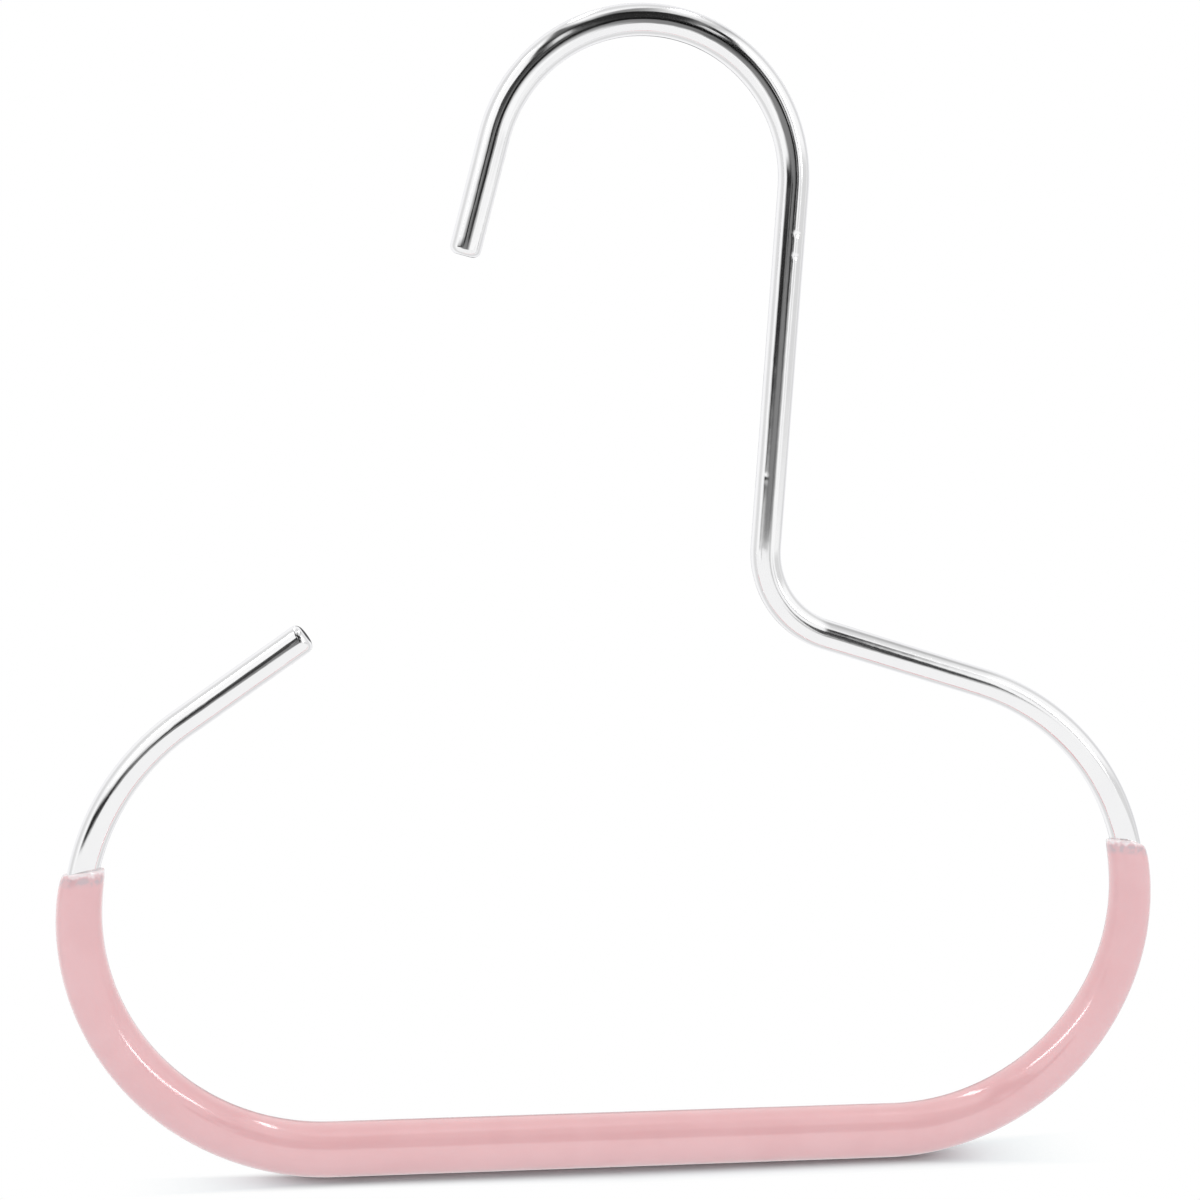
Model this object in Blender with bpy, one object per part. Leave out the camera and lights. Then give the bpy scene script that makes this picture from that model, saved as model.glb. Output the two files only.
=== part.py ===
"""Ring hanger: one bent chromed wire with a soft sleeve over the lower half of its ring.

The hanger lies in the XZ plane, with +Z up and its front towards -Y. The origin is the rail seat,
the highest point of the inside of the hook, where the hanger hangs on its rail. The wire runs from
the tip of the hook, over the hook, down the neck, along the shoulder, round the right end of the
ring, back along the level bar and round the left end to a free end, which leaves the ring open at
the top so that things can be slipped onto the bar.
"""

import math
from collections import namedtuple

import bmesh
import bpy
from mathutils import Vector

# The wire; its bends are measured at its middle line
WIRE_DIAMETER = 0.0040
WIRE_END_ROUNDING = 0.0010
HOOK_RADIUS = 0.0196
LIP_LENGTH = 0.0153
LIP_LEAN = math.radians(14.1)
NECK_LENGTH = 0.0464
NECK_LEAN = math.radians(2.6)
NECK_BEND_RADIUS = 0.0120
SHOULDER_LENGTH = 0.0226
SHOULDER_SLOPE = math.radians(17.1)
RING_END_RADIUS = 0.0328
BAR_LENGTH = 0.0777
FREE_END_SLOPE = math.radians(35.8)
FREE_END_LENGTH = 0.0199

# The sleeve; its wall grows evenly from each mouth to the bar, and is thinner on the right
SLEEVE_CLEARANCE = 0.0003
SLEEVE_RIGHT_MOUTH_WALL = 0.0005
SLEEVE_LEFT_MOUTH_WALL = 0.00065
SLEEVE_BAR_WALL = 0.0014
SLEEVE_MOUTH_ROUNDING = 0.00025
SLEEVE_RIGHT_TURN = math.radians(103.9)
SLEEVE_LEFT_TURN = math.radians(100.5)

# The finish of the pieces
CHROME_COLOUR = (0.80, 0.80, 0.82)
CHROME_ROUGHNESS = 0.07
PINK_COLOUR = (0.80, 0.49, 0.51)
PINK_ROUGHNESS = 0.30

# How finely round shapes are divided
BEND_STEP = math.radians(6.0)
WIRE_SIDES = 20
SLEEVE_SIDES = 20
ROUNDING_STEPS = 3
SHARP_EDGE_ANGLE = math.radians(40.0)

# Values that follow from those above
WIRE_RADIUS = WIRE_DIAMETER / 2
SLEEVE_BORE_RADIUS = WIRE_RADIUS + SLEEVE_CLEARANCE
QUARTER_TURN = math.radians(90.0)
HALF_TURN = 2 * QUARTER_TURN
FULL_TURN = 2 * HALF_TURN

# A place on the wire's middle line; the heading is anticlockwise from +X, seen from the front
Station = namedtuple("Station", "x z heading")

# A circle square to the wire at a station
Ring = namedtuple("Ring", "station radius")


def clear_scene():
    """Removes every object that is in the scene at the start."""
    for item in list(bpy.data.objects):
        bpy.data.objects.remove(item, do_unlink=True)


def make_material(name, colour, roughness, metallic):
    """A Principled material with one colour."""
    material = bpy.data.materials.new(name)
    material.use_nodes = True
    shader = material.node_tree.nodes["Principled BSDF"]
    shader.inputs["Base Color"].default_value = (*colour, 1.0)
    shader.inputs["Roughness"].default_value = roughness
    shader.inputs["Metallic"].default_value = metallic
    material.diffuse_color = (*colour, 1.0)
    return material


def step_along(station, length):
    """The station that lies straight ahead of this one, or behind it if the length is below zero."""
    x = station.x + length * math.cos(station.heading)
    z = station.z + length * math.sin(station.heading)
    return Station(x, z, station.heading)


def on_clockwise_bend(centre_x, centre_z, radius, heading):
    """The station of a clockwise bend where the wire has this heading."""
    x = centre_x - radius * math.sin(heading)
    z = centre_z + radius * math.cos(heading)
    return Station(x, z, heading)


def add_straight(stations, length):
    """Goes on straight from the last station."""
    stations.append(step_along(stations[-1], length))


def add_bend(stations, radius, turn):
    """Goes on round a bend from the last station; a turn below zero is clockwise."""
    start = stations[-1]
    reach = math.copysign(radius, -turn)
    centre_x = start.x + reach * math.sin(start.heading)
    centre_z = start.z - reach * math.cos(start.heading)
    steps = math.ceil(abs(turn) / BEND_STEP)
    for step in range(1, steps + 1):
        heading = start.heading + turn * step / steps
        stations.append(on_clockwise_bend(centre_x, centre_z, reach, heading))


def wire_tip():
    """The tip of the hook, placed so that the rail seat comes to the origin."""
    centre_z = WIRE_RADIUS - HOOK_RADIUS
    hook_start = on_clockwise_bend(0.0, centre_z, HOOK_RADIUS, QUARTER_TURN - LIP_LEAN)
    return step_along(hook_start, -LIP_LENGTH)


def stations_to_bar():
    """The wire's stations from the tip of the hook to the right end of the level bar."""
    stations = [wire_tip()]
    add_straight(stations, LIP_LENGTH)
    add_bend(stations, HOOK_RADIUS, LIP_LEAN - NECK_LEAN - HALF_TURN)
    add_straight(stations, NECK_LENGTH)
    add_bend(stations, NECK_BEND_RADIUS, QUARTER_TURN + NECK_LEAN - SHOULDER_SLOPE)
    add_straight(stations, SHOULDER_LENGTH)
    add_bend(stations, RING_END_RADIUS, SHOULDER_SLOPE - HALF_TURN)
    return stations


def wire_stations():
    """The wire's stations from the tip of the hook to the free end."""
    stations = stations_to_bar()
    add_straight(stations, BAR_LENGTH)
    add_bend(stations, RING_END_RADIUS, FREE_END_SLOPE - HALF_TURN)
    add_straight(stations, FREE_END_LENGTH)
    return stations


def even_change(first, last, count):
    """This many numbers, which go evenly from the first one to the last."""
    return [first + (last - first) * index / (count - 1) for index in range(count)]


def sleeve_stations():
    """The sleeve's stations from its right mouth to its left one, with its wall at each."""
    bar_start = stations_to_bar()[-1]
    centre_z = bar_start.z + RING_END_RADIUS
    mouth_heading = bar_start.heading + SLEEVE_RIGHT_TURN
    stations = [on_clockwise_bend(bar_start.x, centre_z, RING_END_RADIUS, mouth_heading)]
    add_bend(stations, RING_END_RADIUS, -SLEEVE_RIGHT_TURN)
    right_count = len(stations)
    add_straight(stations, BAR_LENGTH)
    add_bend(stations, RING_END_RADIUS, -SLEEVE_LEFT_TURN)
    left_count = len(stations) - right_count
    walls = even_change(SLEEVE_RIGHT_MOUTH_WALL, SLEEVE_BAR_WALL, right_count)
    walls += even_change(SLEEVE_BAR_WALL, SLEEVE_LEFT_MOUTH_WALL, left_count)
    return stations, walls


def rounded_end(station, radius, rounding, way):
    """Rings that round off an end, from its tip inwards; way is 1 or -1, along the heading."""
    rings = []
    for step in range(ROUNDING_STEPS + 1):
        angle = QUARTER_TURN * step / ROUNDING_STEPS
        inset = rounding * (1 - math.cos(angle))
        drop = rounding * (1 - math.sin(angle))
        rings.append(Ring(step_along(station, way * inset), radius - drop))
    return rings


def wire_rings():
    """Rings along the wire, with both cut ends rounded."""
    stations = wire_stations()
    first_end = rounded_end(stations[0], WIRE_RADIUS, WIRE_END_ROUNDING, 1)
    last_end = rounded_end(stations[-1], WIRE_RADIUS, WIRE_END_ROUNDING, -1)
    middle = [Ring(station, WIRE_RADIUS) for station in stations[1:-1]]
    return first_end + middle + last_end[::-1]


def sleeve_rings():
    """Rings along the sleeve's outside, with rounded mouths, and back along its bore."""
    stations, walls = sleeve_stations()
    radii = [SLEEVE_BORE_RADIUS + wall for wall in walls]
    first_mouth = rounded_end(stations[0], radii[0], SLEEVE_MOUTH_ROUNDING, 1)
    last_mouth = rounded_end(stations[-1], radii[-1], SLEEVE_MOUTH_ROUNDING, -1)
    outside = [Ring(*pair) for pair in zip(stations[1:-1], radii[1:-1])]
    bore = [Ring(station, SLEEVE_BORE_RADIUS) for station in stations]
    return first_mouth + outside + last_mouth[::-1] + bore[::-1]


def ring_points(ring, sides):
    """The corner points of a ring, as a circle of this many sides."""
    across_x = -math.sin(ring.station.heading)
    across_z = math.cos(ring.station.heading)
    points = []
    for side in range(sides):
        angle = FULL_TURN * side / sides
        in_plane = ring.radius * math.cos(angle)
        x = ring.station.x + in_plane * across_x
        y = ring.radius * math.sin(angle)
        z = ring.station.z + in_plane * across_z
        points.append(Vector((x, y, z)))
    return points


def join_loops(mesh, first, second):
    """Fills the band between two loops of corners with four-sided faces."""
    count = len(first)
    for index in range(count):
        following = (index + 1) % count
        mesh.faces.new((first[index], first[following], second[following], second[index]))


def make_tube(name, rings, sides, origin, material, closed_on_itself):
    """Makes an object from rings: a rod capped at both ends, or a skin closed on itself."""
    mesh = bmesh.new()
    loops = []
    for ring in rings:
        loops.append([mesh.verts.new(point - origin) for point in ring_points(ring, sides)])
    for first, second in zip(loops, loops[1:]):
        join_loops(mesh, first, second)
    if closed_on_itself:
        join_loops(mesh, loops[-1], loops[0])
    else:
        mesh.faces.new(loops[0])
        mesh.faces.new(loops[-1])
    bmesh.ops.recalc_face_normals(mesh, faces=mesh.faces)

    data = bpy.data.meshes.new(name)
    mesh.to_mesh(data)
    mesh.free()
    data.shade_smooth()
    data.set_sharp_from_angle(angle=SHARP_EDGE_ANGLE)
    data.materials.append(material)
    item = bpy.data.objects.new(name, data)
    item.location = origin
    bpy.context.scene.collection.objects.link(item)
    return item


def make_wire(holder):
    """The chromed steel wire, bent in one piece, with its own origin at the rail seat."""
    chrome = make_material("chrome", CHROME_COLOUR, CHROME_ROUGHNESS, 1.0)
    rail_seat = Vector((0.0, 0.0, 0.0))
    wire = make_tube("chromed_wire", wire_rings(), WIRE_SIDES, rail_seat, chrome, False)
    wire.parent = holder


def make_sleeve(holder):
    """The soft pink sleeve, with its own origin at the middle of the bar."""
    pink = make_material("pink_pvc", PINK_COLOUR, PINK_ROUGHNESS, 0.0)
    bar_start = stations_to_bar()[-1]
    bar_middle = Vector((bar_start.x - BAR_LENGTH / 2, 0.0, bar_start.z))
    sleeve = make_tube("pvc_sleeve", sleeve_rings(), SLEEVE_SIDES, bar_middle, pink, True)
    sleeve.parent = holder


def main():
    clear_scene()
    holder = bpy.data.objects.new("ring_hanger", None)
    bpy.context.scene.collection.objects.link(holder)
    make_wire(holder)
    make_sleeve(holder)


main()
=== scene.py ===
import math
from collections import namedtuple

import bmesh
import bpy
from mathutils import Matrix, Vector, noise


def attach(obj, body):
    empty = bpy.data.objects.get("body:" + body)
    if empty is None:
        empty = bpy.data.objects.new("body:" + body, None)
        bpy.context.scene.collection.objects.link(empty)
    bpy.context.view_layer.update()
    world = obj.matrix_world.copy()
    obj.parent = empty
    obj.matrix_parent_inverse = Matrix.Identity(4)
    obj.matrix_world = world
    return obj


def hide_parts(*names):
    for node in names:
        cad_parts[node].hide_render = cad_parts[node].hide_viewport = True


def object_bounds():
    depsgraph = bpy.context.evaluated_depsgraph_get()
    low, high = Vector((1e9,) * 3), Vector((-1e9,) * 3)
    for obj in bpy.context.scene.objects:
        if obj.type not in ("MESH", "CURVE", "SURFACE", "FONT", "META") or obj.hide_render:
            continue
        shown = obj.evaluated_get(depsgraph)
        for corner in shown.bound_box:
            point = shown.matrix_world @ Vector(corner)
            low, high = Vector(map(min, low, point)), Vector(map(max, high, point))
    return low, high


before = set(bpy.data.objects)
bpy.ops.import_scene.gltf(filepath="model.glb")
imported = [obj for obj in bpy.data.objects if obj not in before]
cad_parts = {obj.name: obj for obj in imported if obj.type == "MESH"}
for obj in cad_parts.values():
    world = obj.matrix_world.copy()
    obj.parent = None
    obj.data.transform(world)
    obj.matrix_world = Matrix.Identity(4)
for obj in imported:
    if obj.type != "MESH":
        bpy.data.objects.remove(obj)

CAD_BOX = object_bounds()

# The course of the wire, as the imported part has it
WIRE_RADIUS = 0.0020
WIRE_END_ROUNDING = 0.0010
HOOK_RADIUS = 0.0196
LIP_LENGTH = 0.0153
LIP_LEAN = math.radians(14.1)
NECK_LENGTH = 0.0464
NECK_LEAN = math.radians(2.6)
NECK_BEND_RADIUS = 0.0120
SHOULDER_LENGTH = 0.0226
SHOULDER_SLOPE = math.radians(17.1)
RING_END_RADIUS = 0.0328
BAR_LENGTH = 0.0777
FREE_END_SLOPE = math.radians(35.8)
FREE_END_LENGTH = 0.0199

# The wire's skin is a hair thinner than the CAD's, so that it stays in its box
WIRE_SKIN_RADIUS = 0.001997

# Marks that the bending tool left: shallow dents, of which the last two make one with a long foot.
# Each has its place along the wire and round it, its depth, and how far it reaches along and round.
Mark = namedtuple("Mark", "length angle depth reach spread")
TOOL_MARKS = (
    Mark(0.0787, math.radians(288), 0.000060, 0.00028, math.radians(16)),
    Mark(0.0815, math.radians(290), 0.000048, 0.00032, math.radians(14)),
    Mark(0.1100, math.radians(236), 0.000018, 0.00032, math.radians(22)),
    Mark(0.1109, math.radians(236), 0.000018, 0.00100, math.radians(22)),
)

# The wire's rings lie this close together within this room of a mark
MARK_STEP = 0.00012
MARK_ROOM = 0.0012

# The sleeve's length, as turns of the two ring ends, and its outer radius
SLEEVE_RIGHT_TURN = math.radians(103.9)
SLEEVE_LEFT_TURN = math.radians(100.5)
SLEEVE_BORE_RADIUS = 0.00202
SLEEVE_RIGHT_RADIUS = 0.00274
SLEEVE_LEFT_RADIUS = 0.00291
SLEEVE_BAR_RADIUS = 0.00368
SLEEVE_UNEVENNESS = 0.000012
SLEEVE_UNEVENNESS_LENGTH = 0.009

# The sleeve's cut mouths: a drawn-in end, a rounded rim and a slightly wavy cut
RIGHT_MOUTH_DRAW_IN = 0.00020
LEFT_MOUTH_DRAW_IN = 0.00030
MOUTH_DRAW_IN_LENGTH = 0.0013
RIM_ROUNDING = 0.00022
BORE_FLARE = 0.00003
MOUTH_WAVE = 0.00009
MOUTH_WAVE_LENGTH = 0.0012
RIM_STEPS = 6

# The wavy cut is a wave with two crests and a weaker one with three. Their starts are angles, and
# the left mouth's waves are offset from the right one's.
DOUBLE_WAVE_START = 0.6
TRIPLE_WAVE_START = 2.1
TRIPLE_WAVE_SHARE = 0.6
LEFT_WAVE_OFFSET = 1.7

# Both mouths are cut aslant: how much higher the cut is at its middle, outer side and front
Cut = namedtuple("Cut", "middle outer front")
RIGHT_CUT = Cut(0.00058, -0.00130, 0.00085)
LEFT_CUT = Cut(0.00100, -0.00090, 0.00050)
CUT_FADE_LENGTH = 0.004

# How finely the two pieces are divided
BEND_STEP = math.radians(1.5)
STRAIGHT_STEP = 0.0008
WIRE_SIDES = 64
SLEEVE_SIDES = 96
ROUNDING_STEPS = 10

QUARTER_TURN = math.radians(90.0)
HALF_TURN = 2 * QUARTER_TURN
FULL_TURN = 2 * HALF_TURN

X_AXIS = (1.0, 0.0, 0.0)
Z_AXIS = (0.0, 0.0, 1.0)

# The plating; the scales of its noises are along the wire and round it, per metre
DRAWN_SCALE = (90.0, 5000.0, 1.0)
CLOUDY_SCALE = (300.0, 300.0, 1.0)
WAVY_SCALE = (250.0, 700.0, 1.0)
CHROME_COLOURS = ((0.87, 0.87, 0.88, 1.0), (0.91, 0.91, 0.91, 1.0))
CHROME_EDGE_TINT = (0.9, 0.9, 0.92, 1.0)
LEAST_ROUGHNESS = 0.04
DRAWN_ROUGHNESS = 0.08
CLOUDY_ROUGHNESS = 0.03
WAVY_WEIGHT = 3.0
CHROME_RELIEF = 0.000006

# The sleeve's soft body
PINK_COLOURS = ((0.820, 0.456, 0.472, 1.0), (0.845, 0.486, 0.502, 1.0))
PINK_CLOUD_SCALE = 140.0
PINK_GLOSS_SCALE = 900.0
PINK_RIPPLE_SCALE = 260.0
PINK_ROUGHNESS = (0.10, 0.16)
PINK_RELIEF = 0.00003
SUBSURFACE_SCALE = 0.0006
SUBSURFACE_RADIUS = (1.0, 0.45, 0.4)

# Most of a noise's values lie in this range
NOISE_RANGE = (0.3, 0.7)

# Painted light at the sleeve's mouths: a pale painted highlight along each cut rim, and behind it a band
# of mauve spots that are painted dark reflections
RIM_HIGHLIGHT_COLOUR = (0.95, 0.86, 0.87, 1.0)
RIM_SHARE = 0.9
RIM_FROM = 0.00005
RIM_TO = 0.00060
RIM_UNEVENNESS = 0.0009
DARK_REFLECTION_COLOUR = (0.62, 0.46, 0.49, 1.0)
SPOTS_FROM = (0.00020, 0.00060)
SPOTS_TO = (0.00090, 0.00170)
SPOT_SCALE = 1300.0
BLOTCH_RANGE = (0.35, 0.65)
BLOTCH_LEAST = 0.35

# The camera, found from the outline of the wire in the photograph
CAMERA_TARGET = Vector((-0.004518, 0.0, -0.072069))
CAMERA_DISTANCE = 0.26518
CAMERA_YAW = math.radians(6.929)
CAMERA_PITCH = math.radians(9.601)
CAMERA_ROLL = math.radians(1.020)
CAMERA_LENS = 60.417
CAMERA_SENSOR = 36.0
CAMERA_CLIP_START = 0.01
CAMERA_CLIP_END = 20.0

# The floor. Its shade fades to plain white in depth and to both sides, narrows towards the left, and is
# set a little aslant: for the camera, white light is painted over the shade away from the bar.
# Close to the bar a darker floor colour, seen by the camera alone, paints a contact shadow. Its bluish
# tint colours the shade.
FLOOR_HALF_SIZE = 4.0
FLOOR_GAP = 0.00002
FLOOR_TINT = (0.86, 0.98, 1.0)
SHADE_NEAR = 0.0012
SHADE_FAR = 0.0055
SHADE_SIDE_NEAR = 0.040
SHADE_SIDE_FAR = 0.070
SHADE_MIDDLE_X = 0.0003
SHADE_SKEW = 0.015
SHADE_SHIFT = 0.0008
SHADE_NARROWING = 14.0
PAINTED_CONTACT_SHADE = 0.53
CONTACT_NEAR = 0.0010
CONTACT_FAR = 0.0042
CONTACT_SIDE_NEAR = 0.036
CONTACT_SIDE_FAR = 0.053

# The bounce card, a white card that leans outwards in front of the bar and is lower at its left
BOUNCE_HALF_WIDTH = 0.30
BOUNCE_BEHIND = 0.004
BOUNCE_NEAR = 0.020
BOUNCE_FAR = 0.130
BOUNCE_HEIGHT = 0.056
BOUNCE_FADE = 0.010
BOUNCE_DIP = 0.012
BOUNCE_DIP_FROM = 0.08
BOUNCE_DIP_TO = 0.16

# The shelf, a white card level with the foot of the neck, which widens towards the front
SHELF_Z = -0.078
SHELF_NEAR = 0.018
SHELF_FAR = 0.135
SHELF_FULL = 0.080
SHELF_LEFT = 0.0095
SHELF_LEFT_SPREAD = 0.80
SHELF_RIGHT = 0.036
SHELF_RIGHT_SPREAD = 0.13
SHELF_FADE = 0.010

# The studio: dark cards, bright ones in them and strip lights, which only glossy surfaces show. Each
# goes from one direction to another, given as azimuth, to the right of the front, and elevation. It
# has a width at each end and soft edges. All these are in degrees.
CARD_PARTS = "azimuth_1 elevation_1 azimuth_2 elevation_2 width_1 width_2 soft end_soft amount"
Card = namedtuple("Card", CARD_PARTS)
DARK_CARDS = {
    "ceiling_opening": Card(8, -1, 4, 56, 3, 50, 13, 10, 0.98),
    "ceiling_left": Card(-2, 6, -46, 50, 17, 4, 5, 13, 0.94),
    "ceiling_right": Card(6, -1, 43, 45, 9, 8.5, 4, 9, 0.99),
    "ceiling_far_left": Card(-23, 44, -104, 64, 20, 2, 6, 6, 0.87),
    "ceiling_far_right": Card(34, 47, 133, 44, 5, 7, 12, 16, 0.44),
    "ceiling_middle": Card(7, 60, 2, 71, 60, 58, 10, 6, 0.22),
    "ceiling_cap": Card(-17, 63, 21, 60, 16, 55, 10, 14, 0.67),
    "front_wall": Card(-40, 0, 20, -16, 28, 35, 11, 23, 0.78),
    "front_middle": Card(3, -7, 1, -6.5, 25, 49, 2, 6, 0.76),
    "front_band": Card(-65, 2, -28, 2, 15, 9, 8, 14, 0.98),
    "front_right_post": Card(21, -1, 26, 27, 10, 5, 2, 2, 0.95),
    "front_right_line": Card(44, 26, 42, -6, 7, 7, 7, 8, 0.33),
    "front_left_post": Card(-18, 2, -23, 25, 9, 17, 2, 3, 0.94),
    "front_slot": Card(5, -0.5, 7, 8, 18, 18, 5, 3, 0.80),
    "right_wall": Card(55, 1, 98, 1, 18, 18, 8, 10, 0.28),
    "rear_opening": Card(178, -22, 170, 14, 8, 22, 6, 8, 0.90),
}
BRIGHT_CARDS = {
    "left_lens": Card(-7, 24, -19, 40, 4, 5, 2, 17, 0.97),
    "right_lens": Card(15, 18, 25, 31, 2, 5, 2, 3, 0.84),
}
STRIP_LIGHTS = {
    "left_strip": Card(-62, 18, -83, 52, 5, 5, 3, 3, 9.0),
    "right_strip": Card(51, 6, 62, 43, 5, 5, 3, 6, 9.0),
    "left_top_strip": Card(-136, 67, -168, 52, 4, 4, 3, 3, 9.0),
    "right_top_strip": Card(108, 71, 134, 60, 4, 4, 3, 3, 9.0),
}
GLOSSY_LEVEL = 1.06
PLAIN_LEVEL = 1.0

# For glossy surfaces a dimmer band runs round the hanger, a little behind it. Its edges are cosines
# of the angle from straight behind, where the front is the camera's side.
FRONT_AZIMUTH = 7
REAR_DIMMING = 0.25
REAR_RISE = (-0.10, 0.25)
REAR_FALL = (0.40, 0.75)

Station = namedtuple("Station", "x z heading")
Ring = namedtuple("Ring", "station radius")


def step_along(station, length):
    """The station that lies straight ahead of this one."""
    x = station.x + length * math.cos(station.heading)
    z = station.z + length * math.sin(station.heading)
    return Station(x, z, station.heading)


def on_clockwise_bend(centre_x, centre_z, radius, heading):
    """The station of a clockwise bend at this heading; a radius below zero bends the other way."""
    x = centre_x - radius * math.sin(heading)
    z = centre_z + radius * math.cos(heading)
    return Station(x, z, heading)


def add_straight(stations, length):
    """Goes on straight from the last station in short steps."""
    start = stations[-1]
    steps = math.ceil(length / STRAIGHT_STEP)
    for step in range(1, steps + 1):
        stations.append(step_along(start, length * step / steps))


def add_bend(stations, radius, turn):
    """Goes on round a bend from the last station; a turn below zero is clockwise."""
    start = stations[-1]
    reach = math.copysign(radius, -turn)
    centre_x = start.x + reach * math.sin(start.heading)
    centre_z = start.z - reach * math.cos(start.heading)
    steps = math.ceil(abs(turn) / BEND_STEP)
    for step in range(1, steps + 1):
        heading = start.heading + turn * step / steps
        stations.append(on_clockwise_bend(centre_x, centre_z, reach, heading))


def stations_to_bar():
    """The wire's stations from the tip of the hook to the right end of the bar."""
    centre_z = WIRE_RADIUS - HOOK_RADIUS
    hook_start = on_clockwise_bend(0.0, centre_z, HOOK_RADIUS, QUARTER_TURN - LIP_LEAN)
    stations = [step_along(hook_start, -LIP_LENGTH)]
    add_straight(stations, LIP_LENGTH)
    add_bend(stations, HOOK_RADIUS, LIP_LEAN - NECK_LEAN - HALF_TURN)
    add_straight(stations, NECK_LENGTH)
    add_bend(stations, NECK_BEND_RADIUS, QUARTER_TURN + NECK_LEAN - SHOULDER_SLOPE)
    add_straight(stations, SHOULDER_LENGTH)
    add_bend(stations, RING_END_RADIUS, SHOULDER_SLOPE - HALF_TURN)
    return stations


def wire_stations():
    """The wire's stations from the tip of the hook to the free end."""
    stations = stations_to_bar()
    add_straight(stations, BAR_LENGTH)
    add_bend(stations, RING_END_RADIUS, FREE_END_SLOPE - HALF_TURN)
    add_straight(stations, FREE_END_LENGTH)
    return stations


def sleeve_stations():
    """The sleeve's stations from its right mouth to its left one, with its outer radius at each."""
    bar_start = stations_to_bar()[-1]
    centre_z = bar_start.z + RING_END_RADIUS
    mouth_heading = bar_start.heading + SLEEVE_RIGHT_TURN
    stations = [on_clockwise_bend(bar_start.x, centre_z, RING_END_RADIUS, mouth_heading)]
    add_bend(stations, RING_END_RADIUS, -SLEEVE_RIGHT_TURN)
    right_count = len(stations)
    add_straight(stations, BAR_LENGTH)
    bar_count = len(stations) - right_count
    add_bend(stations, RING_END_RADIUS, -SLEEVE_LEFT_TURN)
    left_count = len(stations) - right_count - bar_count
    radii = even_change(SLEEVE_RIGHT_RADIUS, SLEEVE_BAR_RADIUS, right_count)
    radii += [SLEEVE_BAR_RADIUS] * bar_count
    radii += even_change(SLEEVE_BAR_RADIUS, SLEEVE_LEFT_RADIUS, left_count)
    return stations, radii


def even_change(first, last, count):
    """This many numbers, which go evenly from the first one to the last."""
    return [first + (last - first) * index / (count - 1) for index in range(count)]


def arc_lengths(stations):
    """The distance along the wire from the first station to each."""
    lengths = [0.0]
    for first, second in zip(stations, stations[1:]):
        lengths.append(lengths[-1] + math.hypot(second.x - first.x, second.z - first.z))
    return lengths


def ring_points(ring, sides):
    """The corner points of a ring, as a circle of this many sides."""
    across_x = -math.sin(ring.station.heading)
    across_z = math.cos(ring.station.heading)
    points = []
    for side in range(sides):
        angle = FULL_TURN * side / sides
        in_plane = ring.radius * math.cos(angle)
        x = ring.station.x + in_plane * across_x
        y = ring.radius * math.sin(angle)
        z = ring.station.z + in_plane * across_z
        points.append(Vector((x, y, z)))
    return points


def rounded_end(station, radius, rounding, way, steps):
    """Rings that round off an end, from its tip inwards; way is 1 or -1, along the heading."""
    rings = []
    for step in range(steps + 1):
        angle = QUARTER_TURN * step / steps
        inset = rounding * (1 - math.cos(angle))
        drop = rounding * (1 - math.sin(angle))
        rings.append(Ring(step_along(station, way * inset), radius - drop))
    return rings


def join_loops(mesh, layer, first, second, along_1, along_2, girth):
    """Fills the band between two loops of corners, and maps it by length and girth in metres."""
    count = len(first)
    for index in range(count):
        following = (index + 1) % count
        face = mesh.faces.new((first[index], first[following], second[following], second[index]))
        start = girth * index / count
        end = girth * (index + 1) / count
        places = ((along_1, start), (along_1, end), (along_2, end), (along_2, start))
        for loop, place in zip(face.loops, places):
            loop[layer].uv = place


def join_all(mesh, layer, loops, along, girth):
    """Fills the bands between all loops of corners, from the first to the last."""
    placed = list(zip(loops, along))
    for (first, along_1), (second, along_2) in zip(placed, placed[1:]):
        join_loops(mesh, layer, first, second, along_1, along_2, girth)


def close_end(mesh, layer, loop, ring, length, girth):
    """Fills the last loop of corners at an end of the wire."""
    centre = mesh.verts.new((ring.station.x, 0.0, ring.station.z))
    for index in range(WIRE_SIDES):
        face = mesh.faces.new((loop[index], loop[(index + 1) % WIRE_SIDES], centre))
        for corner in face.loops:
            corner[layer].uv = (length, girth * index / WIRE_SIDES)


def finish_mesh(name, mesh, material):
    """Turns a built mesh into an object with smooth shading."""
    bmesh.ops.recalc_face_normals(mesh, faces=mesh.faces)
    data = bpy.data.meshes.new(name)
    mesh.to_mesh(data)
    mesh.free()
    data.shade_smooth()
    data.materials.append(material)
    item = bpy.data.objects.new(name, data)
    bpy.context.scene.collection.objects.link(item)
    return item


def rings_at_marks(rings, starts):
    """The rings of the wire with closer ones between them near the tool marks."""
    closer = [rings[0]]
    for index in range(1, len(rings)):
        first, second = rings[index - 1], rings[index]
        gap = starts[index] - starts[index - 1]
        near = any(abs(starts[index] - mark.length) < MARK_ROOM for mark in TOOL_MARKS)
        steps = math.ceil(gap / MARK_STEP) if near else 1
        for step in range(1, steps):
            closer.append(Ring(step_along(first.station, gap * step / steps), first.radius))
        closer.append(second)
    return closer


def dent_depth(length, angle):
    """How far the tool marks press the wire's skin in, at this length and angle."""
    depth = 0.0
    for mark in TOOL_MARKS:
        along = (length - mark.length) / mark.reach
        around = (angle - mark.angle) / mark.spread
        depth += mark.depth * math.exp(-along * along - around * around)
    return depth


def dented(points, ring, length):
    """The corner points of a ring of the wire, pressed in where the tool marks are."""
    middle = Vector((ring.station.x, 0.0, ring.station.z))
    pressed = []
    for side, point in enumerate(points):
        depth = dent_depth(length, FULL_TURN * side / len(points))
        pressed.append(point + (middle - point).normalized() * depth)
    return pressed


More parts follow.
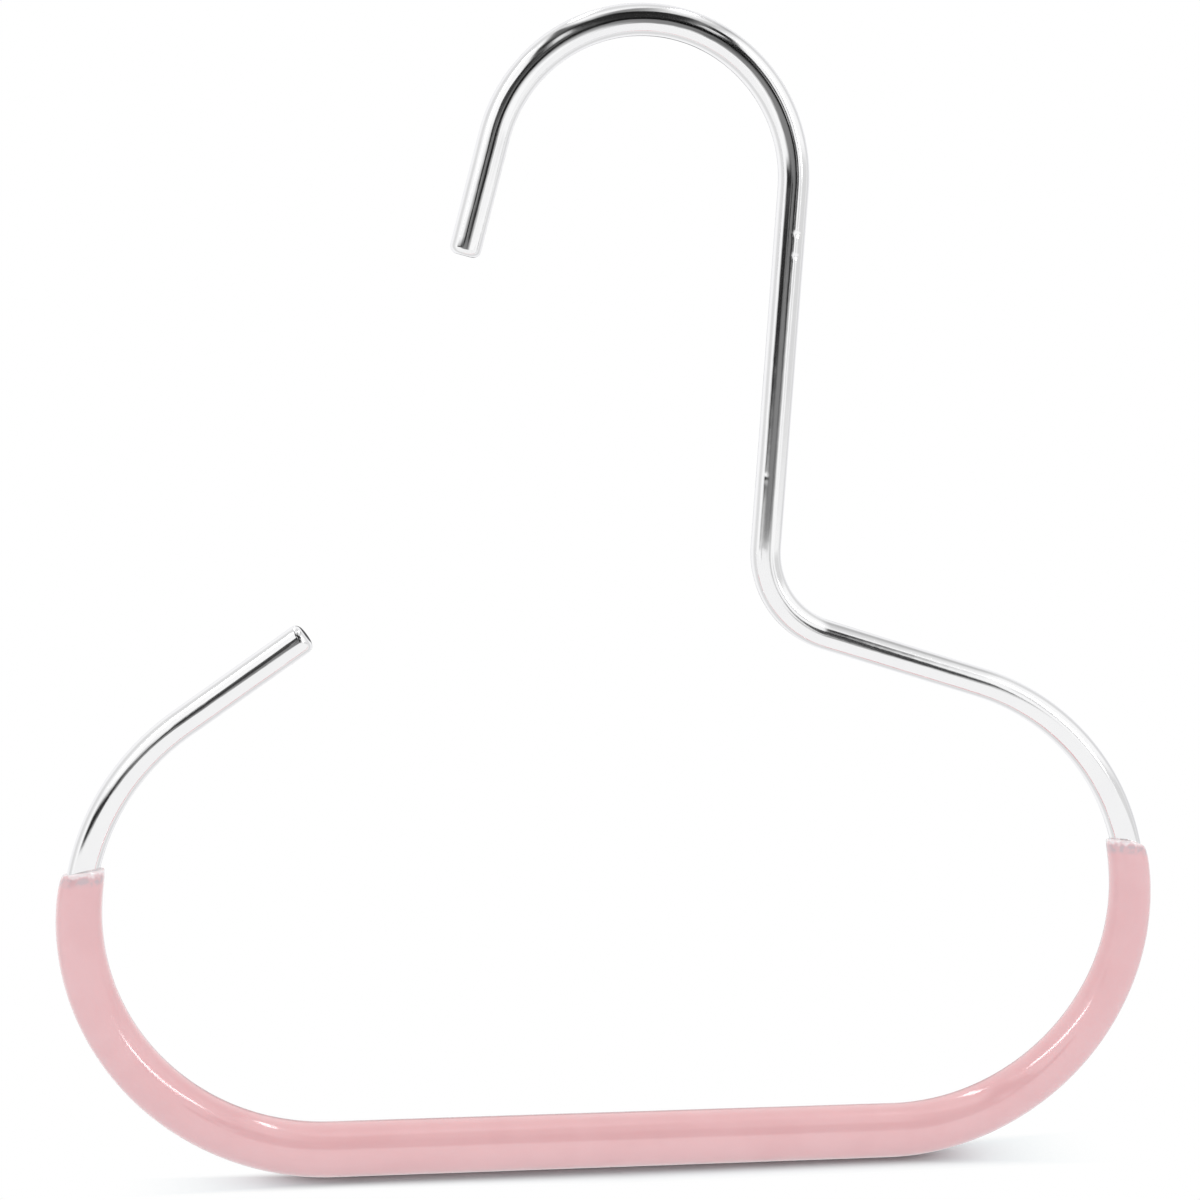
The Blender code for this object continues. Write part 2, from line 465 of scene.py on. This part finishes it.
def build_wire(material):
    """The chromed wire, with rounded cut ends."""
    stations = wire_stations()
    first_end = rounded_end(stations[0], WIRE_SKIN_RADIUS, WIRE_END_ROUNDING, 1, ROUNDING_STEPS)
    last_end = rounded_end(stations[-1], WIRE_SKIN_RADIUS, WIRE_END_ROUNDING, -1, ROUNDING_STEPS)
    skipped = math.ceil(WIRE_END_ROUNDING / STRAIGHT_STEP) + 1
    middle = [Ring(station, WIRE_SKIN_RADIUS) for station in stations[skipped:-skipped]]
    rings = first_end + middle + last_end[::-1]
    rings = rings_at_marks(rings, arc_lengths([ring.station for ring in rings]))
    along = arc_lengths([ring.station for ring in rings])
    mesh = bmesh.new()
    layer = mesh.loops.layers.uv.new("UVMap")
    loops = []
    for ring, length in zip(rings, along):
        points = dented(ring_points(ring, WIRE_SIDES), ring, length)
        loops.append([mesh.verts.new(point) for point in points])
    girth = FULL_TURN * WIRE_SKIN_RADIUS
    join_all(mesh, layer, loops, along, girth)
    close_end(mesh, layer, loops[0], rings[0], along[0], girth)
    close_end(mesh, layer, loops[-1], rings[-1], along[-1], girth)
    return finish_mesh("bright_wire", mesh, material)


def sleeve_outside():
    """The rings of the sleeve's outside, drawn in at both mouths and rounded at their rims."""
    stations, radii = sleeve_stations()
    lengths = arc_lengths(stations)
    rings = []
    for station, radius, length in zip(stations, radii, lengths):
        right = math.exp(-length / MOUTH_DRAW_IN_LENGTH)
        left = math.exp(-(lengths[-1] - length) / MOUTH_DRAW_IN_LENGTH)
        drawn_in = radius - RIGHT_MOUTH_DRAW_IN * right - LEFT_MOUTH_DRAW_IN * left
        rings.append(Ring(station, drawn_in))
    first_rim = rounded_end(rings[0].station, rings[0].radius, RIM_ROUNDING, 1, RIM_STEPS)
    last_rim = rounded_end(rings[-1].station, rings[-1].radius, RIM_ROUNDING, -1, RIM_STEPS)
    return first_rim + rings[1:-1] + last_rim[::-1]


def mouth_shift(length, total, angle):
    """How far a point of the sleeve lies clockwise of its place, for the aslant and wavy cuts."""
    at_right = length < total / 2
    cut, way, offset = (RIGHT_CUT, -1, 0.0) if at_right else (LEFT_CUT, 1, LEFT_WAVE_OFFSET)
    from_mouth = min(length, total - length)
    raised = cut.middle + cut.outer * math.cos(angle) - cut.front * math.sin(angle)
    double_wave = math.sin(2 * angle + DOUBLE_WAVE_START + offset)
    triple_wave = math.sin(3 * angle + TRIPLE_WAVE_START - offset)
    wave = double_wave + TRIPLE_WAVE_SHARE * triple_wave
    slant_share = math.exp(-from_mouth / CUT_FADE_LENGTH)
    wave_share = math.exp(-from_mouth / MOUTH_WAVE_LENGTH)
    return way * raised * slant_share + MOUTH_WAVE * wave * wave_share


def turned(point, centre_x, centre_z, angle):
    """This point, turned clockwise round a ring end's centre."""
    x, z = point.x - centre_x, point.z - centre_z
    new_x = centre_x + x * math.cos(angle) + z * math.sin(angle)
    new_z = centre_z + z * math.cos(angle) - x * math.sin(angle)
    return Vector((new_x, point.y, new_z))


def sleeve_points(ring, length, total, outside):
    """The corner points of one ring of the sleeve, with its unevenness and its cut."""
    bar_start = stations_to_bar()[-1]
    centre_x = bar_start.x if length < total / 2 else bar_start.x - BAR_LENGTH
    centre_z = bar_start.z + RING_END_RADIUS
    middle = Vector((ring.station.x, 0.0, ring.station.z))
    points = []
    for side, point in enumerate(ring_points(ring, SLEEVE_SIDES)):
        if outside:
            uneven = noise.noise(point / SLEEVE_UNEVENNESS_LENGTH) * SLEEVE_UNEVENNESS
            point = point + (point - middle).normalized() * uneven
        shift = mouth_shift(length, total, FULL_TURN * side / SLEEVE_SIDES)
        points.append(turned(point, centre_x, centre_z, shift / RING_END_RADIUS))
    return points


def build_sleeve(material):
    """The soft sleeve, open at both mouths, with its bore on the wire."""
    outside = sleeve_outside()
    bore = [Ring(ring.station, SLEEVE_BORE_RADIUS) for ring in outside[::-1]]
    bore[0] = Ring(bore[0].station, SLEEVE_BORE_RADIUS + BORE_FLARE)
    bore[-1] = Ring(bore[-1].station, SLEEVE_BORE_RADIUS + BORE_FLARE)
    rings = outside + bore
    mesh = bmesh.new()
    layer = mesh.loops.layers.uv.new("UVMap")
    outside_along = arc_lengths([ring.station for ring in outside])
    total = outside_along[-1]
    along = outside_along + outside_along[::-1]
    loops = []
    for index, (ring, length) in enumerate(zip(rings, along)):
        points = sleeve_points(ring, length, total, index < len(outside))
        loops.append([mesh.verts.new(point) for point in points])
    girth = FULL_TURN * SLEEVE_BAR_RADIUS
    join_all(mesh, layer, loops + loops[:1], along + along[:1], girth)
    return finish_mesh("soft_sleeve", mesh, material)


class Nodes:
    """A few short ways to make and link the nodes of one tree."""

    def __init__(self, tree):
        self.tree = tree

    def new(self, kind, inputs=None, **settings):
        node = self.tree.nodes.new(kind)
        for name, value in settings.items():
            setattr(node, name, value)
        for name, value in (inputs or {}).items():
            self.feed(node.inputs[name], value)
        return node

    def feed(self, socket, value):
        if isinstance(value, bpy.types.NodeSocket):
            self.tree.links.new(value, socket)
        else:
            socket.default_value = value

    def math(self, operation, first, second=None, third=None):
        node = self.new("ShaderNodeMath", operation=operation)
        for socket, value in zip(node.inputs, (first, second, third)):
            if value is not None:
                self.feed(socket, value)
        return node.outputs[0]

    def dot(self, vector, fixed):
        node = self.new("ShaderNodeVectorMath", operation="DOT_PRODUCT")
        self.feed(node.inputs[0], vector)
        node.inputs[1].default_value = fixed
        return node.outputs["Value"]

    def ramp(self, value, low, high, at_low, at_high, kind="SMOOTHSTEP"):
        inputs = {"Value": value, "From Min": low, "From Max": high, "To Min": at_low, "To Max": at_high}
        return self.new("ShaderNodeMapRange", inputs, interpolation_type=kind).outputs[0]

    def rise(self, value, clear_at, white_at):
        """A smooth ramp from 0 to 1 between these two values, whichever is the higher one."""
        if clear_at > white_at:
            return self.ramp(value, white_at, clear_at, 1.0, 0.0)
        return self.ramp(value, clear_at, white_at, 0.0, 1.0)

    def noise(self, place, scale, detail=2.0, roughness=0.5):
        inputs = {"Vector": place, "Scale": scale, "Detail": detail, "Roughness": roughness}
        return self.new("ShaderNodeTexNoise", inputs).outputs["Fac"]

    def mix_colour(self, share, first, second):
        node = self.new("ShaderNodeMix", data_type="RGBA")
        for name, value in (("Factor", share), ("A", first), ("B", second)):
            self.feed(node.inputs[name], value)
        return node.outputs["Result"]

    def bump(self, height, strength, distance):
        inputs = {"Strength": strength, "Distance": distance, "Height": height}
        return self.new("ShaderNodeBump", inputs).outputs[0]

    def mix_shader(self, share, first, second):
        node = self.new("ShaderNodeMixShader")
        for socket, value in zip(node.inputs, (share, first, second)):
            self.feed(socket, value)
        return node.outputs[0]

    def stretch(self, place, scale):
        return self.new("ShaderNodeMapping", {"Vector": place, "Scale": scale}).outputs[0]


def new_material(name):
    """An empty material with its shader and its nodes."""
    material = bpy.data.materials.new(name)
    material.use_nodes = True
    return material, Nodes(material.node_tree), material.node_tree.nodes["Principled BSDF"]


def chrome_material():
    """Bright plating over drawn wire: faint lines along it, and a slightly uneven polish."""
    material, nodes, shader = new_material("chrome_look")
    place = nodes.new("ShaderNodeTexCoord").outputs["UV"]
    drawn = nodes.noise(nodes.stretch(place, DRAWN_SCALE), 1.0, 3.0)
    cloudy = nodes.noise(nodes.stretch(place, CLOUDY_SCALE), 1.0, 2.0)
    roughness = nodes.math("MULTIPLY_ADD", drawn, DRAWN_ROUGHNESS, LEAST_ROUGHNESS)
    roughness = nodes.math("MULTIPLY_ADD", cloudy, CLOUDY_ROUGHNESS, roughness)
    nodes.feed(shader.inputs["Roughness"], roughness)
    nodes.feed(shader.inputs["Base Color"], nodes.mix_colour(cloudy, *CHROME_COLOURS))
    shader.inputs["Metallic"].default_value = 1.0
    shader.inputs["Specular Tint"].default_value = CHROME_EDGE_TINT
    wavy = nodes.noise(nodes.stretch(place, WAVY_SCALE), 1.0, 2.0)
    height = nodes.math("MULTIPLY_ADD", wavy, WAVY_WEIGHT, drawn)
    nodes.feed(shader.inputs["Normal"], nodes.bump(height, 1.0, CHROME_RELIEF))
    return material


def mouth_painted_light(nodes, place, body):
    """The body's colour with painted light at the mouths of the sleeve: a highlight on each cut rim and
    dark reflections in spots behind it.
    """
    total = RING_END_RADIUS * (SLEEVE_RIGHT_TURN + SLEEVE_LEFT_TURN) + BAR_LENGTH
    along = nodes.dot(nodes.new("ShaderNodeTexCoord").outputs["UV"], X_AXIS)
    from_mouth = nodes.math("MINIMUM", along, nodes.math("SUBTRACT", total, along))
    blotches = nodes.noise(place, SPOT_SCALE, 1.0)
    # Painted dark reflections: mauve spots in a band behind each mouth.
    spots_begin = nodes.ramp(from_mouth, *SPOTS_FROM, 0.0, 1.0)
    spots_end = nodes.ramp(from_mouth, *SPOTS_TO, 1.0, 0.0)
    spots = nodes.math("MULTIPLY", spots_begin, spots_end)
    spots = nodes.math("MULTIPLY", spots, nodes.ramp(blotches, *BLOTCH_RANGE, BLOTCH_LEAST, 1.0))
    spotted = nodes.mix_colour(spots, body, DARK_REFLECTION_COLOUR)
    # Painted highlight: a pale, slightly uneven band at each cut rim.
    uneven = nodes.math("SUBTRACT", blotches, 0.5)
    rim_place = nodes.math("MULTIPLY_ADD", uneven, RIM_UNEVENNESS, from_mouth)
    rim = nodes.ramp(rim_place, RIM_FROM, RIM_TO, RIM_SHARE, 0.0)
    return nodes.mix_colour(rim, spotted, RIM_HIGHLIGHT_COLOUR)


def pink_material():
    """Glossy soft PVC: a milky body with faint clouds, and an even, slightly rippled gloss."""
    material, nodes, shader = new_material("pink_look")
    place = nodes.new("ShaderNodeTexCoord").outputs["Object"]
    clouds = nodes.noise(place, PINK_CLOUD_SCALE, 3.0)
    body = nodes.mix_colour(nodes.ramp(clouds, *NOISE_RANGE, 0.0, 1.0), *PINK_COLOURS)
    nodes.feed(shader.inputs["Base Color"], mouth_painted_light(nodes, place, body))
    fine = nodes.noise(place, PINK_GLOSS_SCALE, 2.0)
    nodes.feed(shader.inputs["Roughness"], nodes.ramp(fine, *NOISE_RANGE, *PINK_ROUGHNESS))
    shader.inputs["IOR"].default_value = 1.80
    shader.inputs["Sheen Weight"].default_value = 1.0
    shader.inputs["Sheen Roughness"].default_value = 0.30
    shader.inputs["Sheen Tint"].default_value = (1.0, 1.0, 1.0, 1.0)
    shader.inputs["Subsurface Weight"].default_value = 0.15
    shader.inputs["Subsurface Radius"].default_value = SUBSURFACE_RADIUS
    shader.inputs["Subsurface Scale"].default_value = SUBSURFACE_SCALE
    ripple = nodes.noise(place, PINK_RIPPLE_SCALE, 2.0)
    nodes.feed(shader.inputs["Normal"], nodes.bump(ripple, 0.5, PINK_RELIEF))
    return material


def make_camera():
    """The camera at the photograph's viewing angle."""
    level = math.cos(CAMERA_PITCH)
    drop = math.sin(CAMERA_PITCH)
    forward = Vector((math.sin(CAMERA_YAW) * level, math.cos(CAMERA_YAW) * level, -drop))
    right = Vector((math.cos(CAMERA_YAW), -math.sin(CAMERA_YAW), 0.0))
    up = right.cross(forward)
    right, up = (
        right * math.cos(CAMERA_ROLL) + up * math.sin(CAMERA_ROLL),
        up * math.cos(CAMERA_ROLL) - right * math.sin(CAMERA_ROLL),
    )
    turn = Matrix((right, up, -forward)).transposed().to_4x4()
    data = bpy.data.cameras.new("camera")
    data.lens = CAMERA_LENS
    data.sensor_width = CAMERA_SENSOR
    data.clip_start = CAMERA_CLIP_START
    data.clip_end = CAMERA_CLIP_END
    camera = bpy.data.objects.new("camera", data)
    camera.matrix_world = Matrix.Translation(CAMERA_TARGET - forward * CAMERA_DISTANCE) @ turn
    bpy.context.scene.collection.objects.link(camera)
    bpy.context.scene.camera = camera


def floor_material():
    """White, with a painted contact shadow by the bar and painted white light over the shade further
    off, both for the camera alone; glossy rays pass through it.
    """
    material, nodes, shader = new_material("floor_white")
    shader.inputs["Roughness"].default_value = 1.0
    shader.inputs["Specular IOR Level"].default_value = 0.0
    place = nodes.new("ShaderNodeTexCoord").outputs["Object"]
    rays = nodes.new("ShaderNodeLightPath").outputs
    depth = nodes.dot(place, (-SHADE_SKEW, 1.0, 0.0))
    depth = nodes.math("ABSOLUTE", nodes.math("ADD", depth, SHADE_SHIFT))
    sideways = nodes.dot(place, X_AXIS)
    side = nodes.math("ABSOLUTE", nodes.math("SUBTRACT", sideways, SHADE_MIDDLE_X))
    # Painted contact shadow: for the camera alone, the floor's colour is darker close to the bar and
    # under its ends.
    near_white = nodes.ramp(depth, CONTACT_NEAR, CONTACT_FAR, PAINTED_CONTACT_SHADE, 1.0)
    side_white = nodes.ramp(side, CONTACT_SIDE_NEAR, CONTACT_SIDE_FAR, PAINTED_CONTACT_SHADE, 1.0)
    white_share = nodes.math("MAXIMUM", near_white, side_white)
    unseen = nodes.math("SUBTRACT", 1.0, rays["Is Camera Ray"])
    white_share = nodes.math("MAXIMUM", white_share, unseen)
    tint = nodes.new("ShaderNodeVectorMath", {"Scale": white_share}, operation="SCALE")
    tint.inputs[0].default_value = FLOOR_TINT
    nodes.feed(shader.inputs["Base Color"], tint.outputs[0])
    # Painted white light: for the camera alone, white emission covers the real shade away from the bar,
    # narrower towards the left.
    narrowing = nodes.math("MULTIPLY_ADD", sideways, -SHADE_NARROWING, 1.0)
    shade_depth = nodes.math("MULTIPLY", depth, nodes.math("MAXIMUM", narrowing, 1.0))
    fade = nodes.ramp(shade_depth, SHADE_NEAR, SHADE_FAR, 0.0, 1.0)
    side_fade = nodes.ramp(side, SHADE_SIDE_NEAR, SHADE_SIDE_FAR, 0.0, 1.0)
    fade = nodes.math("MAXIMUM", fade, side_fade)
    fade = nodes.math("MULTIPLY", fade, rays["Is Camera Ray"])
    white = nodes.new("ShaderNodeEmission").outputs[0]
    clear = nodes.new("ShaderNodeBsdfTransparent").outputs[0]
    shaded = nodes.mix_shader(fade, shader.outputs[0], white)
    output = material.node_tree.nodes["Material Output"]
    nodes.feed(output.inputs["Surface"], nodes.mix_shader(rays["Is Glossy Ray"], shaded, clear))
    return material


def make_floor():
    """A plain white floor under the hanger; its shade close to the hanger is partly real and partly
    painted.
    """
    mesh = bpy.data.meshes.new("floor")
    z = CAD_BOX[0].z - FLOOR_GAP
    half = FLOOR_HALF_SIZE
    corners = [(-half, -half, z), (half, -half, z), (half, half, z), (-half, half, z)]
    mesh.from_pydata(corners, [], [(0, 1, 2, 3)])
    mesh.materials.append(floor_material())
    floor = bpy.data.objects.new("floor", mesh)
    bpy.context.scene.collection.objects.link(floor)


def make_card(name, corners, faces, white_share):
    """A white card that only glossy surfaces show; white_share makes its cover at each place."""
    mesh = bpy.data.meshes.new(name)
    mesh.from_pydata(corners, [], faces)
    material = bpy.data.materials.new(name + "_white")
    material.use_nodes = True
    nodes = Nodes(material.node_tree)
    share = white_share(nodes, nodes.new("ShaderNodeTexCoord").outputs["Object"])
    clear = nodes.new("ShaderNodeBsdfTransparent").outputs[0]
    white = nodes.new("ShaderNodeEmission").outputs[0]
    output = material.node_tree.nodes["Material Output"]
    nodes.feed(output.inputs["Surface"], nodes.mix_shader(share, clear, white))
    mesh.materials.append(material)
    card = bpy.data.objects.new(name, mesh)
    for ray in ("camera", "diffuse", "transmission", "shadow", "volume_scatter"):
        setattr(card, "visible_" + ray, False)
    bpy.context.scene.collection.objects.link(card)


def bounce_share(nodes, place):
    """The bounce card's cover, which fades at its upper edge."""
    leftwards = nodes.dot(place, (-1.0, 0.0, 0.0))
    dip = nodes.ramp(leftwards, BOUNCE_DIP_FROM, BOUNCE_DIP_TO, 0.0, BOUNCE_DIP)
    height = nodes.math("ADD", nodes.dot(place, Z_AXIS), dip)
    top = CAD_BOX[0].z + BOUNCE_HEIGHT
    return nodes.rise(height, top, top - BOUNCE_FADE)


def make_bounce_card():
    """A white card low in front of the hanger."""
    foot = CAD_BOX[0].z
    half = BOUNCE_HALF_WIDTH
    corners = []
    for y, z in ((BOUNCE_BEHIND, foot), (-BOUNCE_NEAR, foot), (-BOUNCE_FAR, foot + BOUNCE_HEIGHT)):
        corners += [(-half, y, z), (half, y, z)]
    make_card("bounce_card", corners, [(0, 1, 3, 2), (2, 3, 5, 4)], bounce_share)


def shelf_share(nodes, place):
    """The shelf's cover, which fades at all four edges and is clear from below."""
    below = nodes.new("ShaderNodeNewGeometry").outputs["Backfacing"]
    share = nodes.math("SUBTRACT", 1.0, below)
    edges = (
        ((0.0, -1.0, 0.0), SHELF_FAR, SHELF_FULL),
        ((0.0, -1.0, 0.0), SHELF_NEAR, SHELF_NEAR + SHELF_FADE),
        ((1.0, -SHELF_LEFT_SPREAD, 0.0), SHELF_LEFT, SHELF_LEFT + SHELF_FADE),
        ((1.0, SHELF_RIGHT_SPREAD, 0.0), SHELF_RIGHT, SHELF_RIGHT - SHELF_FADE),
    )
    for axis, clear_at, white_at in edges:
        cover = nodes.rise(nodes.dot(place, axis), clear_at, white_at)
        share = nodes.math("MULTIPLY", share, cover)
    return share


def make_shelf():
    """A white card in front of the hanger, level with the foot of the neck."""
    corners = []
    for depth in (SHELF_FAR, SHELF_NEAR):
        left = SHELF_LEFT - SHELF_LEFT_SPREAD * depth
        right = SHELF_RIGHT + SHELF_RIGHT_SPREAD * depth
        corners += [(left, -depth, SHELF_Z), (right, -depth, SHELF_Z)]
    make_card("shelf", corners, [(0, 1, 3, 2)], shelf_share)


def direction(azimuth, elevation):
    """The unit vector of a direction, from degrees."""
    a, e = math.radians(azimuth), math.radians(elevation)
    return Vector((math.sin(a) * math.cos(e), -math.cos(a) * math.cos(e), math.sin(e)))


def card_mask(nodes, looking, card):
    """1 where this direction falls on the card, 0 outside, with the card's soft edges."""
    start = direction(card.azimuth_1, card.elevation_1)
    end = direction(card.azimuth_2, card.elevation_2)
    side = start.cross(end).normalized()
    middle = (start + end).normalized()
    ahead = side.cross(middle)
    half = start.angle(end) / 2
    across = nodes.math("ABSOLUTE", nodes.math("ARCSINE", nodes.dot(looking, side)))
    along = nodes.math("ARCTAN2", nodes.dot(looking, ahead), nodes.dot(looking, middle))
    half_widths = (math.radians(card.width_1) / 2, math.radians(card.width_2) / 2)
    half_width = nodes.ramp(along, -half, half, *half_widths, "LINEAR")
    beyond = nodes.math("SUBTRACT", across, half_width)
    past = nodes.math("SUBTRACT", nodes.math("ABSOLUTE", along), half)
    soft, end_soft = math.radians(card.soft) / 2, math.radians(card.end_soft) / 2
    inside = nodes.ramp(beyond, -soft, soft, 1.0, 0.0)
    return nodes.math("MULTIPLY", inside, nodes.ramp(past, -end_soft, end_soft, 1.0, 0.0))


def glossy_level(nodes, looking):
    """How bright the studio is in this direction for glossy surfaces."""
    level = GLOSSY_LEVEL
    for card in DARK_CARDS.values():
        kept = nodes.math("MULTIPLY_ADD", card_mask(nodes, looking, card), -card.amount, 1.0)
        level = nodes.math("MULTIPLY", level, kept)
    for card in BRIGHT_CARDS.values():
        share = nodes.math("MULTIPLY", card_mask(nodes, looking, card), card.amount)
        kept = nodes.math("SUBTRACT", 1.0, share)
        level = nodes.math("MULTIPLY_ADD", level, kept, share)
    backward = nodes.dot(looking, -direction(FRONT_AZIMUTH, 0))
    rising = nodes.ramp(backward, *REAR_RISE, 0.0, 1.0)
    rear = nodes.math("MULTIPLY", rising, nodes.ramp(backward, *REAR_FALL, 1.0, 0.0))
    level = nodes.math("MULTIPLY", level, nodes.math("MULTIPLY_ADD", rear, -REAR_DIMMING, 1.0))
    for card in STRIP_LIGHTS.values():
        level = nodes.math("MULTIPLY_ADD", card_mask(nodes, looking, card), card.amount, level)
    return level


def make_world():
    """A plain white studio, whose cards and strips only glossy surfaces show."""
    world = bpy.data.worlds.new("studio")
    world.use_nodes = True
    nodes = Nodes(world.node_tree)
    level = glossy_level(nodes, nodes.new("ShaderNodeTexCoord").outputs["Generated"])
    plain = world.node_tree.nodes["Background"]
    plain.inputs["Color"].default_value = (1.0, 1.0, 1.0, 1.0)
    plain.inputs["Strength"].default_value = PLAIN_LEVEL
    glossy = nodes.new("ShaderNodeBackground", {"Color": (1.0, 1.0, 1.0, 1.0), "Strength": level})
    rays = nodes.new("ShaderNodeLightPath").outputs
    mixed = nodes.mix_shader(rays["Is Glossy Ray"], plain.outputs[0], glossy.outputs[0])
    nodes.feed(world.node_tree.nodes["World Output"].inputs["Surface"], mixed)
    bpy.context.scene.world = world


def main():
    """Dresses the two pieces and makes the studio."""
    wire = build_wire(chrome_material())
    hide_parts("chromed_wire")
    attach(wire, "root")
    sleeve = build_sleeve(pink_material())
    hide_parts("pvc_sleeve")
    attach(sleeve, "root")
    make_floor()
    make_bounce_card()
    make_shelf()
    make_world()
    make_camera()
    bpy.context.scene.view_settings.view_transform = "Standard"


main()
